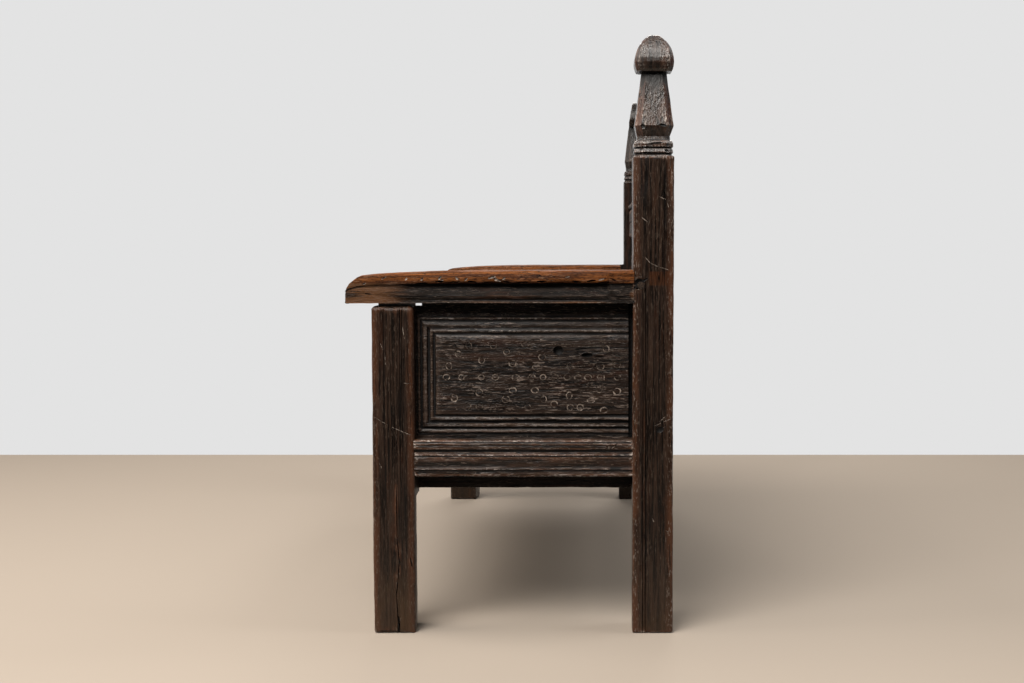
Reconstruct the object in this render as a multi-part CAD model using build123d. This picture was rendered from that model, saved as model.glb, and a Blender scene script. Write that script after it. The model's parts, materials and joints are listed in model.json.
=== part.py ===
from build123d import *
import os
from math import sqrt

# A joined wooden settle: a long plank seat between two panelled arms, with a panelled back whose posts end in knobs.
# Millimetres. X runs along the seat, Y from front to back, Z up. The origin is on the floor, under the middle of
# the whole outline. Left and right are the sitter's, so the left end is the one at +X.

os.makedirs("parts", exist_ok=True)

# Whole settle
settle_length = 1540.0       # over the outer faces of the legs
frame_depth = 576.0          # front of the front legs to back of the back posts
seat_height = 403.0          # top of the seat boards
arm_height = 700.0           # top of the arms at the back
post_height = 914.5          # top of the plain part of a post, under its finial

# Uprights
leg_width = 78.0             # along the seat
leg_depth = 81.5
post_width = 78.0
post_depth = 79.0
arris = 4.0                  # flat worn on the long edges of legs and posts
right_post_extra = 20.0      # the right post is this much taller
right_post_shave = 13.0      # and this much thinner in front, above the arm

# Finial, from the post's top upward; widths are shares of the post's own width
collar_height = 13.5         # each of two notched collars
collar_root = 0.80
collar_rim = 0.95
neck_root = 0.82
neck_swell = 0.945
neck_rise = 28.5             # from the collars to the widest part of the neck
neck_top = 0.61
neck_taper = 102.5           # from the widest part up to the knob
lip_root = 0.86
lip_height = 16.0
dome_height = 57.0
finial_corner = 10.0         # flat cut on the four corners
split_low = 6.0              # the right finial has lost its front lip: the split starts this far behind the face
split_high = 27.0            # and is this far behind it under the knob
split_lean = 3.0             # and this much further at the crown

# Arms
arm_thickness = 65.0
arm_overhang = 49.0          # tip in front of the leg
arm_gap = 3.0                # the leg's shoulder stays this far below the arm
nosing_height = 28.0         # rounded upper part of the arm
nosing_overhang = 5.0
tip_drop = 12.0              # the tip is worn down by this much
tip_round = 26.0             # length of the round at the tip
tip_reach = 190.0            # the top is worn hollow this far behind the tip
right_arm_short = 25.0       # the right arm ends this far behind the left one
right_arm_wear = 10.0        # and its top is worn this much lower

# Seat frame
rail_height = 73.0
rail_bead = 12.0             # round along the top of a moulded rail
rail_cove = 8.0              # hollow under the bead
rail_line = 53.0             # scratched line, below the top
end_rail_thickness = 66.0
end_rail_setback = 2.0       # behind the outer face of the leg
front_rail_thickness = 46.0
front_rail_setback = 4.0
rear_rail_thickness = 40.0
rear_rail_setback = 28.0     # behind the front face of the post
bearer_thickness = 24.0
bearer_drop = 31.0           # the bearer hangs this far below its rail
cross_bearer_width = 60.0
cross_bearer_height = 55.0

# Seat
seat_thickness = 28.0
seat_overhang = 10.0         # in front of the front rail
seat_boards = ("front", "middle", "rear")
board_gap = 2.5

# Panels
panel_thickness = 18.0
panel_groove = 10.0          # depth of the grooves that hold a panel
border_lines = ((6.5, 32.0, 11.0), (23.5, 44.0, 33.0), (36.0, 56.0, 50.0))  # from the side, the top and the bottom
line_width = 4.0
line_depth = 2.5
plain_edge = 7.0             # channel beside the back post
plain_edge_depth = 10.0
chip_width = 12.0            # broken corner of the end panel beside the front leg
chip_height = 5.0

# Back
back_setback = 25.0          # behind the front face of the post
back_thickness = 34.0
crest_drop = 49.5            # below the post's top
crest_height = 95.0
lower_rail_height = 75.0
lower_rail_gap = 32.0        # above the seat
muntin_width = 70.0          # upright between two panels
back_panels = ("right", "middle", "left")
muntins_between = ("right", "left")

# Joints
tenon_length = 32.0
tenon_shoulder = 12.0
stub_length = 14.0           # short tenons of the muntins and the cross bearer
fit_gap = 0.2                # beside a tenon, a panel, a peg or a nail
mortise_spare = 1.0          # beyond the end of a tenon
seat_gap = 1.0               # round the legs, posts and panels
peg_diameter = 11.0
arm_peg_diameter = 15.0
peg_past_tenon = 6.0
nail_diameter = 4.0
nail_head = 13.0
nail_head_height = 4.0
nail_length = 46.0

# Planes that several pieces share, for the left end
outer = settle_length / 2
leg_inner = outer - leg_width
post_inner = outer - post_width
arm_tip = -(frame_depth + arm_overhang) / 2
leg_front = arm_tip + arm_overhang
leg_back = leg_front + leg_depth
post_back = (frame_depth + arm_overhang) / 2
post_front = post_back - post_depth
rail_top = seat_height - seat_thickness
rail_bottom = rail_top - rail_height
arm_bottom = arm_height - arm_thickness
leg_top = arm_bottom - arm_gap
rail_face = outer - end_rail_setback
rail_inner = rail_face - end_rail_thickness
panel_face = rail_face - (end_rail_thickness - panel_thickness) / 2
panel_inner = panel_face - panel_thickness
back_face = post_front + back_setback
back_rear = back_face + back_thickness
back_panel_face = back_face + (back_thickness - panel_thickness) / 2
crest_top = post_height - crest_drop
crest_bottom = crest_top - crest_height
lower_bottom = seat_height + lower_rail_gap
lower_top = lower_bottom + lower_rail_height
front_rail_face = leg_front + front_rail_setback
front_rail_back = front_rail_face + front_rail_thickness
rear_rail_face = post_front + rear_rail_setback
rear_rail_back = rear_rail_face + rear_rail_thickness


def block(xs, ys, zs):
    """A box between two planes in each direction."""
    spans = (xs, ys, zs)
    middle = [(low + high) / 2 for low, high in spans]
    return Pos(*middle) * Box(*[high - low for low, high in spans])


def rod(start, direction, length, diameter):
    """A round bar from a point, along a direction."""
    along = Plane(origin=start, z_dir=direction)
    return along * Cylinder(diameter / 2, length, align=(Align.CENTER, Align.CENTER, Align.MIN))


def other_end(solid):
    """The same piece at the right end."""
    return mirror(solid, about=Plane.YZ)


def both_ends(solid):
    return solid + other_end(solid)


def thirds(low, high):
    """The middle third, where a tenon is cut."""
    third = (high - low) / 3
    return low + third, high - third


def tenon_and_mortise(spans, axis, toward):
    """A tenon, and the mortise for it: wider by the fit gap and deeper by the spare."""
    hole = [[low - fit_gap, high + fit_gap] for low, high in spans]
    hole[axis] = list(spans[axis])
    hole[axis][1 if toward > 0 else 0] += toward * mortise_spare
    return block(*spans), block(*hole)


def moulded_rail(length, thickness, height):
    """A rail along X with a bead, a cove and a scratched line on its front face, which looks to -Y."""
    bead_end = height - rail_bead
    cove_end = bead_end - rail_cove
    line = height - rail_line
    bead = ThreePointArc((6, height), (0, height - rail_bead / 2), (4, bead_end))
    cove = ThreePointArc((4, bead_end), (7.5, bead_end - 3), (6, cove_end))
    rest = Polyline((6, cove_end), (3, cove_end), (3, line + 2), (5, line), (3, line - 2),
                    (3, 5), (7, 0), (thickness, 0), (thickness, height), (6, height))
    return extrude(Plane.YZ * make_face(bead + cove + rest), amount=length)


def bordered_panel(width, height, open_end):
    """A panel along X whose face looks to -Y. Width and height are the opening; its edges sit in grooves."""
    tongue = panel_groove - mortise_spare
    board = block((-tongue, width + tongue), (0, panel_thickness), (-panel_groove, height + tongue))
    for side, top, bottom in border_lines:
        right = width + 2 * panel_groove if open_end else width - side
        frame = block((side, right), (-1, line_depth), (bottom, height - top))
        inside = block((side + line_width, right - line_width), (-1, line_depth),
                       (bottom + line_width, height - top - line_width))
        board -= frame - inside
    if open_end:
        board -= block((width - plain_edge, width + panel_groove), (-1, plain_edge_depth),
                       (-panel_groove, height + panel_groove))
    return board


def prism(reach, angle, base):
    """The finial's outline, as wide as reach each way, drawn right through in one direction."""
    side = [(collar_root, 0), (collar_rim, collar_height), (collar_root, collar_height),
            (collar_rim, 2 * collar_height), (neck_root, 2 * collar_height)]
    swell_height = 2 * collar_height + neck_rise
    knob_height = swell_height + neck_taper
    lip = knob_height + lip_height
    side += [(neck_swell, swell_height), (neck_top, knob_height), (lip_root, knob_height), (neck_swell, lip)]
    dome = [(0.93, 0.28), (0.83, 0.48), (0.68, 0.66), (0.50, 0.80), (0.27, 0.94)]
    right = [(share * reach, height) for share, height in side]
    crown = [right[-1]] + [(neck_swell * share * reach, lip + rise * dome_height) for share, rise in dome]
    left = [(-x, height) for x, height in reversed(right)]
    over = crown + [(0, lip + dome_height)] + [(-x, height) for x, height in reversed(crown)]
    outline = Polyline(*right) + Spline(*over) + Polyline(*left) + Line(left[-1], right[0])
    deep = 2 * (post_width + post_depth)
    return Pos(0, 0, base) * Rot(0, 0, angle) * extrude(Plane.XZ * make_face(outline), amount=deep, both=True)


def finial(width, depth, base):
    """A four-sided finial with its corners cut flat."""
    across = (width / 2 + depth / 2 - finial_corner) / sqrt(2)
    form = prism(width / 2, 0, base) & prism(depth / 2, 90, base)
    return form & prism(across, 45, base) & prism(across, 135, base)


def eased(solid):
    """Long edges worn flat, and the foot's edges too."""
    upright = solid.edges().filter_by(Axis.Z)
    foot = solid.faces().sort_by(Axis.Z)[0].edges()
    return chamfer(upright + foot, arris)


# Tenons and mortises of the left end
rail_tenon_z = (rail_bottom + tenon_shoulder, rail_top - panel_groove - tenon_shoulder)
end_tenon_x = thirds(rail_inner, rail_face)
end_to_leg = tenon_and_mortise((end_tenon_x, (leg_back - tenon_length, leg_back), rail_tenon_z), 1, -1)
end_to_post = tenon_and_mortise((end_tenon_x, (post_front, post_front + tenon_length), rail_tenon_z), 1, 1)
front_tenon_y = thirds(front_rail_face, front_rail_back)
front_to_leg = tenon_and_mortise(((leg_inner, leg_inner + tenon_length), front_tenon_y, rail_tenon_z), 0, 1)
rear_tenon_y = thirds(rear_rail_face, rear_rail_back)
post_tenon_x = (post_inner, post_inner + tenon_length)
rear_to_post = tenon_and_mortise((post_tenon_x, rear_tenon_y, rail_tenon_z), 0, 1)
back_tenon_y = thirds(back_face, back_rear)
crest_tenon_z = (crest_bottom + panel_groove + tenon_shoulder, crest_top - tenon_shoulder)
crest_to_post = tenon_and_mortise((post_tenon_x, back_tenon_y, crest_tenon_z), 0, 1)
lower_tenon_z = (lower_bottom + tenon_shoulder, lower_top - panel_groove - tenon_shoulder)
lower_to_post = tenon_and_mortise((post_tenon_x, back_tenon_y, lower_tenon_z), 0, 1)
arm_tenon_x = thirds(leg_inner, outer)
arm_tenon_z = (arm_bottom + panel_groove + tenon_shoulder / 2, arm_height - tenon_shoulder)
arm_to_post = tenon_and_mortise((arm_tenon_x, (post_front, post_front + tenon_length), arm_tenon_z), 1, 1)
leg_tenon_y = (leg_front + tenon_shoulder, leg_back - panel_groove - tenon_shoulder)
leg_tenon_top = arm_bottom + arm_thickness / 2
leg_tenon = block(arm_tenon_x, leg_tenon_y, (leg_top, leg_tenon_top))
leg_mortise = block((arm_tenon_x[0] - fit_gap, arm_tenon_x[1] + fit_gap),
                    (leg_tenon_y[0] - fit_gap, leg_tenon_y[1] + fit_gap), (arm_bottom, leg_tenon_top))

# Grooves that hold the left end panel, and the panels of the back
groove_x = (panel_inner - fit_gap, panel_face + fit_gap)
leg_groove = block(groove_x, (leg_back - panel_groove, leg_back), (rail_top - panel_groove, leg_top))
post_groove = block(groove_x, (post_front, post_front + panel_groove),
                    (rail_top - panel_groove, arm_bottom + panel_groove))
rail_groove = block(groove_x, (leg_back, post_front), (rail_top - panel_groove, rail_top))
arm_groove = block(groove_x, (leg_back - panel_groove, post_front), (arm_bottom, arm_bottom + panel_groove))
back_groove_y = (back_panel_face - fit_gap, back_panel_face + panel_thickness + fit_gap)
back_groove_z = (lower_top - panel_groove, crest_bottom + panel_groove)
post_back_groove = block((post_inner, post_inner + panel_groove), back_groove_y, back_groove_z)


def pegged(points, direction, depth, diameter):
    """Pegs flush with a face, and the holes for them."""
    pegs = [rod(point, direction, depth, diameter - 2 * fit_gap) for point in points]
    holes = [rod(point, direction, depth, diameter) for point in points]
    return pegs, holes


def middle(span):
    return (span[0] + span[1]) / 2


def two_heights(span):
    third = (span[1] - span[0]) / 4
    return span[0] + third, span[1] - third


# Pegs of the left end
peg_x = middle(post_tenon_x)
arm_pegs, arm_peg_holes = pegged([(outer, post_front + tenon_length / 2, middle(arm_tenon_z))], (-1, 0, 0),
                                 outer - arm_tenon_x[0] + peg_past_tenon, arm_peg_diameter)
front_pegs, front_peg_holes = pegged(
    [(leg_inner + tenon_length / 2, leg_front, height) for height in two_heights(rail_tenon_z)], (0, 1, 0),
    front_tenon_y[1] - leg_front + peg_past_tenon, peg_diameter)
rear_pegs, rear_peg_holes = pegged(
    [(peg_x, post_back, height) for height in two_heights(rail_tenon_z)], (0, -1, 0),
    post_back - rear_tenon_y[0] + peg_past_tenon, peg_diameter)
crest_pegs, crest_peg_holes = pegged(
    [(peg_x, post_back, height) for height in two_heights(crest_tenon_z)], (0, -1, 0),
    post_back - back_tenon_y[0] + peg_past_tenon, peg_diameter)
lower_pegs, lower_peg_holes = pegged(
    [(peg_x, post_back, middle(lower_tenon_z))], (0, -1, 0),
    post_back - back_tenon_y[0] + peg_past_tenon, peg_diameter)

nodes = {}

# Front legs
leg = eased(block((leg_inner, outer), (leg_front, leg_back), (0, leg_top))) + leg_tenon
leg -= [end_to_leg[1], front_to_leg[1], leg_groove] + front_peg_holes
nodes["front_leg_left"] = leg
nodes["front_leg_right"] = other_end(leg)

# Back posts, each with its finial. The right one is taller, thinner above the arm, and its finial is split in front.
post_cuts = [end_to_post[1], rear_to_post[1], crest_to_post[1], lower_to_post[1], arm_to_post[1]]
post_cuts += [post_groove, post_back_groove] + arm_peg_holes + rear_peg_holes + crest_peg_holes + lower_peg_holes
post_middle = middle((post_inner, outer))


def back_post(top, shave):
    face = post_front + shave
    post = eased(block((post_inner, outer), (post_front, post_back), (0, top)))
    if shave:
        post -= block((post_inner, outer), (post_front, face), (arm_height, top))
    knob = finial(post_width, post_back - face, top)
    return (post + Pos(post_middle, middle((face, post_back)), 0) * knob) - post_cuts


nodes["back_post_left"] = back_post(post_height, 0)
right_top = post_height + right_post_extra
right_face = post_front + right_post_shave
swell_z = right_top + 2 * collar_height + neck_rise
knob_z = swell_z + neck_taper
crown_z = knob_z + lip_height + dome_height
split = Polyline((right_face, swell_z), (right_face + split_low, swell_z), (right_face + split_high, knob_z),
                 (right_face + split_high + split_lean, crown_z), (right_face, crown_z), close=True)
lost_lip = extrude(Plane.YZ * make_face(split), amount=settle_length)
nodes["back_post_right"] = other_end(back_post(right_top, right_post_shave) - lost_lip)

# Arms. The right one is shorter and more worn.
half_arm = leg_width / 2
half_nosing = half_arm + nosing_overhang
nosing_bottom = arm_height - nosing_height
arm_side = Polyline((half_nosing - 14, arm_height), (-half_nosing + 14, arm_height))
round_in = ThreePointArc((-half_nosing + 14, arm_height), (-half_nosing + 3, arm_height - 6),
                         (-half_nosing, nosing_bottom + 8))
under = Polyline((-half_nosing, nosing_bottom + 8), (-half_nosing, nosing_bottom), (-half_arm + 2, nosing_bottom),
                 (-half_arm, nosing_bottom - 4), (-half_arm, arm_bottom), (half_arm, arm_bottom),
                 (half_arm, nosing_bottom - 4), (half_arm - 2, nosing_bottom), (half_nosing, nosing_bottom),
                 (half_nosing, nosing_bottom + 8))
round_out = ThreePointArc((half_nosing, nosing_bottom + 8), (half_nosing - 3, arm_height - 6),
                          (half_nosing - 14, arm_height))
section = Plane.XZ * make_face(arm_side + round_in + under + round_out)
arm_bar = Pos(outer - half_arm, post_front, 0) * extrude(section, amount=post_front - arm_tip)


def armrest(tip, top):
    """The moulded bar cut to a side outline with a worn round tip."""
    tip_top = top - tip_drop
    nose = ThreePointArc((tip, arm_bottom + 20), (tip + 8, tip_top - 9), (tip + tip_round, tip_top))
    top_line = Spline((tip + tip_round, tip_top), (tip + tip_reach, top - 2), (post_front, top))
    rest = Polyline((post_front, top), (post_front, arm_bottom), (tip + 4, arm_bottom),
                    (tip, arm_bottom + 6), (tip, arm_bottom + 20))
    outline = extrude(Plane.YZ * make_face(nose + top_line + rest), amount=settle_length)
    return (arm_bar & outline) + arm_to_post[0] - [leg_mortise, arm_groove] - arm_peg_holes


nodes["arm_left"] = armrest(arm_tip, arm_height)
nodes["arm_right"] = other_end(armrest(arm_tip + right_arm_short, arm_height - right_arm_wear))

# End rails, the panels above them and the bearers behind them
clear_depth = post_front - leg_back
end_rail = Pos(rail_face, leg_back, rail_bottom) * Rot(0, 0, 90) * moulded_rail(
    clear_depth, end_rail_thickness, rail_height)
end_rail = end_rail + [end_to_leg[0], end_to_post[0]] - rail_groove
end_panel = bordered_panel(clear_depth, arm_bottom - rail_top, True)
end_panel -= block((-panel_groove, chip_width), (-1, panel_thickness + 1),
                   (arm_bottom - rail_top - chip_height, arm_height))
end_panel = Pos(panel_face, leg_back, rail_top) * Rot(0, 0, 90) * end_panel
bearer_x = (rail_inner - bearer_thickness, rail_inner)
end_bearer = block(bearer_x, (leg_back, post_front), (rail_bottom - bearer_drop, rail_top))

# Front and rear seat rails, with the cross bearer between them
front_length = 2 * leg_inner
front_rail = Pos(-leg_inner, front_rail_face, rail_bottom) * moulded_rail(
    front_length, front_rail_thickness, rail_height)
front_rail = front_rail + both_ends(front_to_leg[0])
rear_rail = block((-post_inner, post_inner), (rear_rail_face, rear_rail_back), (rail_bottom, rail_top))
rear_rail = rear_rail + both_ends(rear_to_post[0])
cross_x = (-cross_bearer_width / 2, cross_bearer_width / 2)
cross_z = (rail_top - cross_bearer_height, rail_top)
stub_z = (cross_z[0] + tenon_shoulder, cross_z[1] - tenon_shoulder)
cross_front = tenon_and_mortise((thirds(*cross_x), (front_rail_back - stub_length, front_rail_back), stub_z), 1, -1)
cross_rear = tenon_and_mortise((thirds(*cross_x), (rear_rail_face, rear_rail_face + stub_length), stub_z), 1, 1)
cross_bearer = block(cross_x, (front_rail_back, rear_rail_face), cross_z) + [cross_front[0], cross_rear[0]]
front_rail -= [cross_front[1]] + both_ends(front_peg_holes[0] + front_peg_holes[1]).solids()
rear_rail -= [cross_rear[1]] + both_ends(rear_peg_holes[0] + rear_peg_holes[1]).solids()

# Seat boards, cut round the legs and posts, and the nails that hold them to the bearers
seat_front = front_rail_face - seat_overhang
board_depth = (back_rear - seat_front - (len(seat_boards) - 1) * board_gap) / len(seat_boards)
seat_end = panel_inner - seat_gap
leg_clear = block((leg_inner - seat_gap, outer), (arm_tip, leg_back + seat_gap), (0, seat_height))
post_clear = block((post_inner - seat_gap, outer), (post_front - seat_gap, post_back), (0, seat_height))
supports = [(middle(bearer_x), leg_back, post_front), (0, front_rail_back, rear_rail_face),
            (-middle(bearer_x), leg_back, post_front)]
boards = []
nail_points = []
for number in range(len(seat_boards)):
    near_edge = seat_front + number * (board_depth + board_gap)
    far_edge = near_edge + board_depth
    board = block((-seat_end, seat_end), (near_edge, far_edge), (rail_top, seat_height))
    boards.append(board - both_ends(leg_clear) - both_ends(post_clear))
    for across, start, stop in supports:
        low, high = max(near_edge, start), min(far_edge, stop)
        nail_points += [(across, low + share * (high - low), seat_height) for share in (0.25, 0.75)]

shanks = [rod(point, (0, 0, -1), nail_length, nail_diameter) for point in nail_points]
shank_holes = [rod(point, (0, 0, -1), nail_length, nail_diameter + 2 * fit_gap) for point in nail_points]
heads = [Pos(*point) * Cone(nail_head / 2, nail_diameter / 2, nail_head_height,
                            align=(Align.CENTER, Align.CENTER, Align.MIN)) for point in nail_points]
nodes["seat_nails"] = Compound(children=[shank + head for shank, head in zip(shanks, heads)])
for name, board in zip(seat_boards, boards):
    nodes["seat_board_" + name] = board - shank_holes
end_bearer -= shank_holes
cross_bearer -= shank_holes

for name, solid in (("end_rail", end_rail), ("end_panel", end_panel), ("seat_bearer", end_bearer)):
    nodes[name + "_left"] = solid
    nodes[name + "_right"] = other_end(solid)
nodes["front_seat_rail"] = front_rail
nodes["rear_seat_rail"] = rear_rail
nodes["seat_cross_bearer"] = cross_bearer

# Back: crest rail, lower rail, muntins and panels, all in one plane
back_length = 2 * post_inner
opening = (back_length - len(muntins_between) * muntin_width) / len(back_panels)
step = opening + muntin_width
crest_rail = Pos(-post_inner, back_face, crest_bottom) * moulded_rail(back_length, back_thickness, crest_height)
lower_rail = Pos(-post_inner, back_face, lower_bottom) * moulded_rail(back_length, back_thickness, lower_rail_height)
crest_rail += both_ends(crest_to_post[0])
lower_rail += both_ends(lower_to_post[0])
along = (-post_inner, post_inner)
crest_rail -= block(along, back_groove_y, (crest_bottom, back_groove_z[1]))
lower_rail -= block(along, back_groove_y, (back_groove_z[0], lower_top))
crest_rail -= both_ends(crest_peg_holes[0] + crest_peg_holes[1]).solids()
lower_rail -= both_ends(lower_peg_holes[0]).solids()

muntins = []
muntin_pegs = []
for number in range(len(muntins_between)):
    left_side = -post_inner + opening + number * step
    span = (left_side, left_side + muntin_width)
    grip = (left_side + muntin_width / 4, left_side + 3 * muntin_width / 4)
    upper = tenon_and_mortise((grip, back_tenon_y, (crest_bottom, back_groove_z[1] + stub_length)), 2, 1)
    lower = tenon_and_mortise((grip, back_tenon_y, (back_groove_z[0] - stub_length, lower_top)), 2, -1)
    muntin = block(span, (back_face + line_depth * 2, back_rear), (lower_top, crest_bottom))
    muntin -= block((span[0], span[0] + panel_groove), back_groove_y, (lower_top, crest_bottom))
    muntin -= block((span[1] - panel_groove, span[1]), back_groove_y, (lower_top, crest_bottom))
    peg_points = [(middle(grip), back_rear, back_groove_z[1] + stub_length / 2),
                  (middle(grip), back_rear, back_groove_z[0] - stub_length / 2)]
    pegs, holes = pegged(peg_points, (0, -1, 0), back_rear - back_tenon_y[0] + peg_past_tenon, stub_length / 2)
    crest_rail -= [upper[1], holes[0]]
    lower_rail -= [lower[1], holes[1]]
    muntins.append((muntin + [upper[0], lower[0]]) - holes)
    muntin_pegs += pegs

nodes["crest_rail"] = crest_rail
nodes["lower_back_rail"] = lower_rail
for name, muntin in zip(muntins_between, muntins):
    nodes["back_muntin_" + name] = muntin
back_panel = bordered_panel(opening, crest_bottom - lower_top, False)
for number, name in enumerate(back_panels):
    nodes["back_panel_" + name] = Pos(-post_inner + number * step, back_panel_face, lower_top) * back_panel

# Pegs, grouped by joint
for name, pegs in (("arm_pegs", arm_pegs), ("front_rail_pegs", front_pegs), ("rear_rail_pegs", rear_pegs),
                   ("crest_rail_pegs", crest_pegs), ("lower_back_rail_pegs", lower_pegs)):
    nodes[name] = Compound(children=pegs + [other_end(peg) for peg in pegs])
nodes["muntin_pegs"] = Compound(children=muntin_pegs)

for name, solid in nodes.items():
    export_step(solid, "parts/" + name + ".step")
print(len(nodes), "pieces written")
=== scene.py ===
# %% [markdown]
# # A joined settle, dressed
# The object is an old oak settle: a long plank seat between two panelled arms, with a panelled back whose posts end
# in knobs. The frame that is loaded here holds its plain solids in metres, and every piece below takes its size and
# its place from them. What this lesson adds is age: mouldings, worn arrises, cracks, stamped rings, grain and wax.

# %% Load the plain frame
import json
import math

import bmesh
import bpy
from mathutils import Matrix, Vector

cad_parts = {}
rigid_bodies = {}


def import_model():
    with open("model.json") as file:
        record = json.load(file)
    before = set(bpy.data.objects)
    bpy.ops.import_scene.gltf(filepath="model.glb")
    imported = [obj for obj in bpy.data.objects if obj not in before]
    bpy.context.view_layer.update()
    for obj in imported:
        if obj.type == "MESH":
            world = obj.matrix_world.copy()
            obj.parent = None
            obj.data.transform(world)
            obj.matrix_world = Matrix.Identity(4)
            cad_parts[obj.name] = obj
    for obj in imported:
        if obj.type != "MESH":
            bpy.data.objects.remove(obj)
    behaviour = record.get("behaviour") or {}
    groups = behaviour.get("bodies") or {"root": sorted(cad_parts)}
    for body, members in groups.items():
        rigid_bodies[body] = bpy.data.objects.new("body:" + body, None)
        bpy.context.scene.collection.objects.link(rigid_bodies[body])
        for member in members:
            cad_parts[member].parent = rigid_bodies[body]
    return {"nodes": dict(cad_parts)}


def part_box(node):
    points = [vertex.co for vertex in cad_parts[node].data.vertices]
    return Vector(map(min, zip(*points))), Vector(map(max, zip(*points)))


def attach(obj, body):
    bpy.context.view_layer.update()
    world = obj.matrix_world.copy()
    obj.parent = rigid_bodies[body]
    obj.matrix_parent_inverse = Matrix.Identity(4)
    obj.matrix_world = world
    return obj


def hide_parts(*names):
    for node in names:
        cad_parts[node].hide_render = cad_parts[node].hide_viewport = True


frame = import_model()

for spare in [thing for thing in bpy.data.objects if thing.name in ("Cube", "Light", "Camera")]:
    bpy.data.objects.remove(spare)
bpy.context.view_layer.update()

# %% [markdown]
# ## Tools of the bench
# A joiner works on one board at a time: it is sawn to size, its edges are marked, and a plane is run along a face.
# The helpers below do that with Blender's own operators. `board` adds a cube at its size and place, `saw` cuts rings
# of edges square across it with bisect, and `pick` selects by place, because there is no mouse here. Everything is
# deselected before a new piece is added, since an operator acts on all that is selected.

# %% Board, saw and pick
AXIS = {"x": 0, "y": 1, "z": 2}
ENDS = (("left", 1), ("right", -1))
CLOSE = 2e-5  # metres; places nearer than this are one
LAP = 0.004  # how far a shoulder or a panel reaches into its neighbour, so that no light shows at the joint


def at(a, b):
    """Whether two places are one."""
    return abs(a - b) < CLOSE


def focus(*pieces):
    """Selects these pieces alone, the first one active; without any, nothing is selected."""
    bpy.ops.object.select_all(action="DESELECT")
    for piece in reversed(pieces):
        piece.select_set(True)
        bpy.context.view_layer.objects.active = piece


def again(piece):
    """A copy with a mesh of its own."""
    focus(piece)
    bpy.ops.object.duplicate()
    return bpy.context.object


def board(name, low, high):
    """A cube at its size and place, left open in edit mode."""
    focus()
    middle = [(a + b) / 2 for a, b in zip(low, high)]
    bpy.ops.mesh.primitive_cube_add(size=1, location=middle, scale=[b - a for a, b in zip(low, high)])
    piece = bpy.context.object
    piece.name = piece.data.name = name
    bpy.ops.object.transform_apply()
    bpy.ops.object.mode_set(mode="EDIT")
    return piece


def pick(kind, wanted):
    """In edit mode, selects the verts, edges or faces that pass a test."""
    bpy.ops.mesh.select_mode(type={"verts": "VERT", "edges": "EDGE", "faces": "FACE"}[kind])
    bpy.ops.mesh.select_all(action="DESELECT")
    mesh = bmesh.from_edit_mesh(bpy.context.object.data)
    for part in getattr(mesh, kind):
        if wanted(part):
            part.select_set(True)
    mesh.select_flush_mode()
    bmesh.update_edit_mesh(bpy.context.object.data)


def saw(axis, places):
    """In edit mode, cuts a ring of edges square across the piece at each place."""
    direction = Vector((axis == "x", axis == "y", axis == "z"))
    for place in places:
        bpy.ops.mesh.select_all(action="SELECT")
        bpy.ops.mesh.bisect(plane_co=direction * place, plane_no=direction)


def shift(axis, by):
    """In edit mode, moves what is selected along one axis."""
    bpy.ops.transform.translate(value=[by * (axis == a) for a in "xyz"])


def marks(low, high, step, keep_off=()):
    """Places every step or so between two ends, away from lines that are already cut."""
    count = max(1, round((high - low) / step))
    places = [low + (high - low) * n / count for n in range(1, count)]
    return [p for p in places if all(abs(p - line) > step * 0.3 for line in keep_off)]


def rings(axis, step):
    """In edit mode, divides all the edges that still run right along one axis."""
    n = AXIS[axis]
    mesh = bmesh.from_edit_mesh(bpy.context.object.data)
    longest = max(abs(e.verts[0].co[n] - e.verts[1].co[n]) for e in mesh.edges)
    pick("edges", lambda e: abs(e.verts[0].co[n] - e.verts[1].co[n]) > longest * 0.6)
    bpy.ops.mesh.subdivide(number_cuts=max(1, round(longest / step) - 1))


def block(low, high):
    """A plain block to carve with."""
    cutter = board("block", low, high)
    bpy.ops.object.mode_set(mode="OBJECT")
    return cutter


def corners(node, **spans):
    """The two corners of a solid of the frame, with the spans that are given in place of its own."""
    low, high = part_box(node)
    for axis, (start, stop) in spans.items():
        low[AXIS[axis]], high[AXIS[axis]] = min(start, stop), max(start, stop)
    return low, high


print("tools ready: board, block, pick, saw, rings")

# %% [markdown]
# ## Moulding plane and scratch stock
# The settle's rails, arms and panels carry run mouldings: beads, hollows and scratched lines. A moulding plane is a
# section that is pushed along the board, so `mould` saws the board at each line of the section and then moves that
# line of vertices in to its own depth. That keeps clean rows of quads along the wood, which later take the dents.

# %% Mouldings
def mould(low, high, run, face, rows, where=lambda co: True):
    """In edit mode, gives a side its section: rows of (place along run, depth below the side)."""
    n, m = AXIS[face[1]], AXIS[run]
    surface = high[n] if face[0] == "+" else low[n]
    inward = -1 if face[0] == "+" else 1
    saw(run, [place for place, depth in rows if low[m] + 1e-5 < place < high[m] - 1e-5])
    for place, depth in rows:
        if depth:
            pick("verts", lambda v: at(v.co[m], place) and at(v.co[n], surface) and where(v.co))
            shift(face[1], inward * depth)


def filled(rows, step):
    """The same section with extra rows on its wide flats."""
    full = []
    for (a, deep_a), (b, deep_b) in zip(rows, rows[1:]):
        full.append((a, deep_a))
        for place in marks(a, b, step) if b - a > step * 1.5 else []:
            full.append((place, deep_a + (deep_b - deep_a) * (place - a) / (b - a)))
    return full + [rows[-1]]


def scratch(line, width, depth):
    """One scratched line: two edges and a floor."""
    return [(line - width / 2, 0), (line, depth), (line + width / 2, 0)]


print("mouldings ready")

# %% [markdown]
# ## Age
# Nothing on this settle is straight any more. The faces were hewn and then rubbed for centuries, so they wander by a
# millimetre or two, they are dented, and the arrises are rounded and nicked. Sculpting would do, but it can't be
# repeated, so three Displace modifiers push the surface inward only, with cloud noise that is stretched along the
# grain by a scaled empty. Inward only, because the aged piece has to stay inside the plain one. Cracks, chips and
# scratches are carved with stretched spheres, laid out on a face from a list.

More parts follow.
